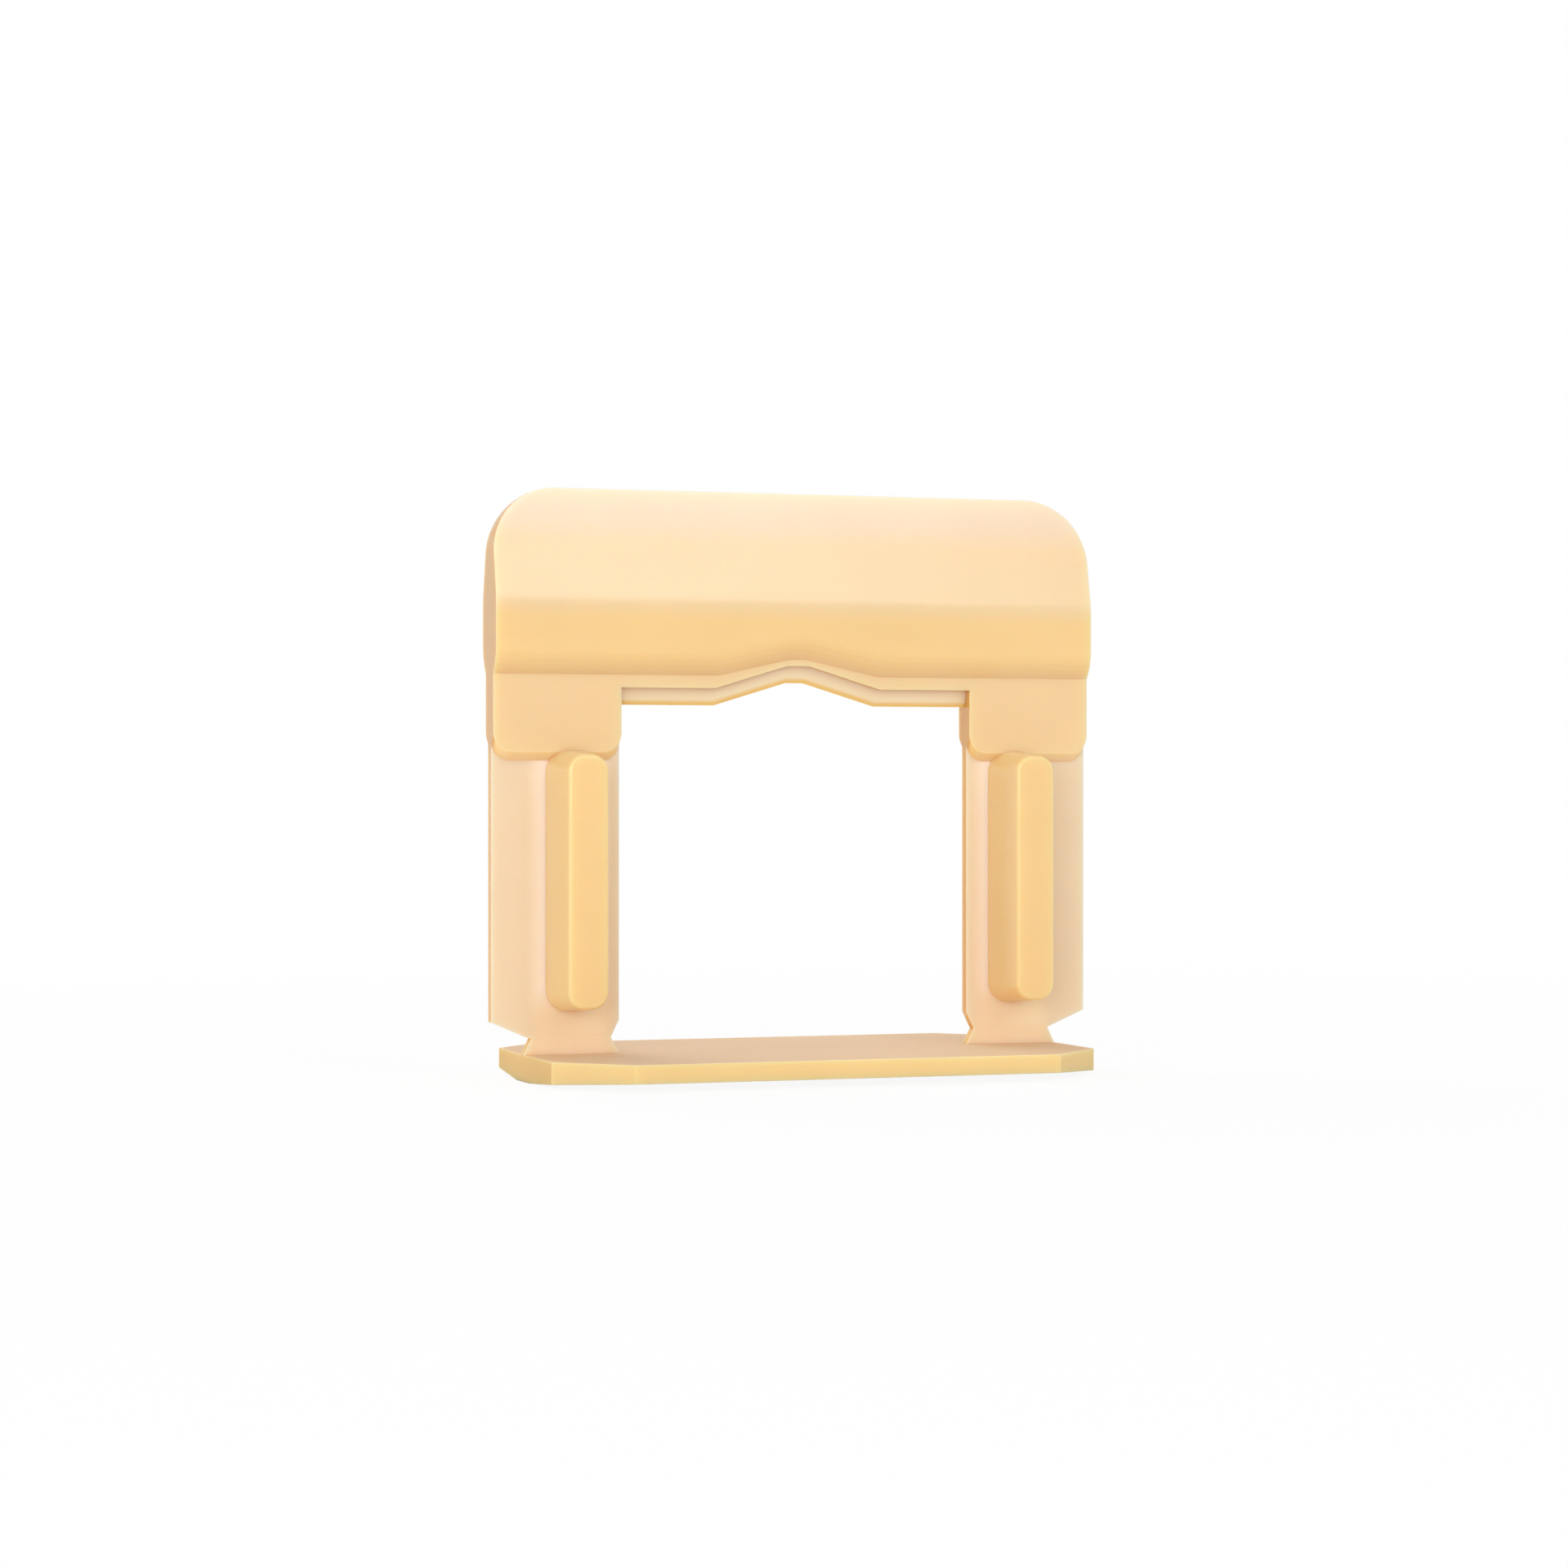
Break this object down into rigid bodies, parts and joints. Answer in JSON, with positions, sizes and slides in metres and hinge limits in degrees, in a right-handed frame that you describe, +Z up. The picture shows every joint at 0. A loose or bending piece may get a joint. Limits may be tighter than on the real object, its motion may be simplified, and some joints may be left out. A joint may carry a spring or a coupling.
{
  "type": "tile levelling clip",
  "caption": "Moulded tile levelling clip: octagonal base plate, thin ribbed legs with snap-off necks and a wedge-shaped head, with a window for a levelling wedge.",
  "frame": {"origin": "middle of the keel strip under the base, the lowest point of the clip", "axes": "+X across the clip from leg to leg, +Y through the window towards the back, +Z up towards the head"},
  "size_m": [0.04, 0.0214, 0.0369],
  "materials": {
    "polypropylene": "satin moulded polypropylene, pale apricot"
  },
  "bodies": {
    "root": {"levelling_clip": "polypropylene"}
  },
  "joints": []
}
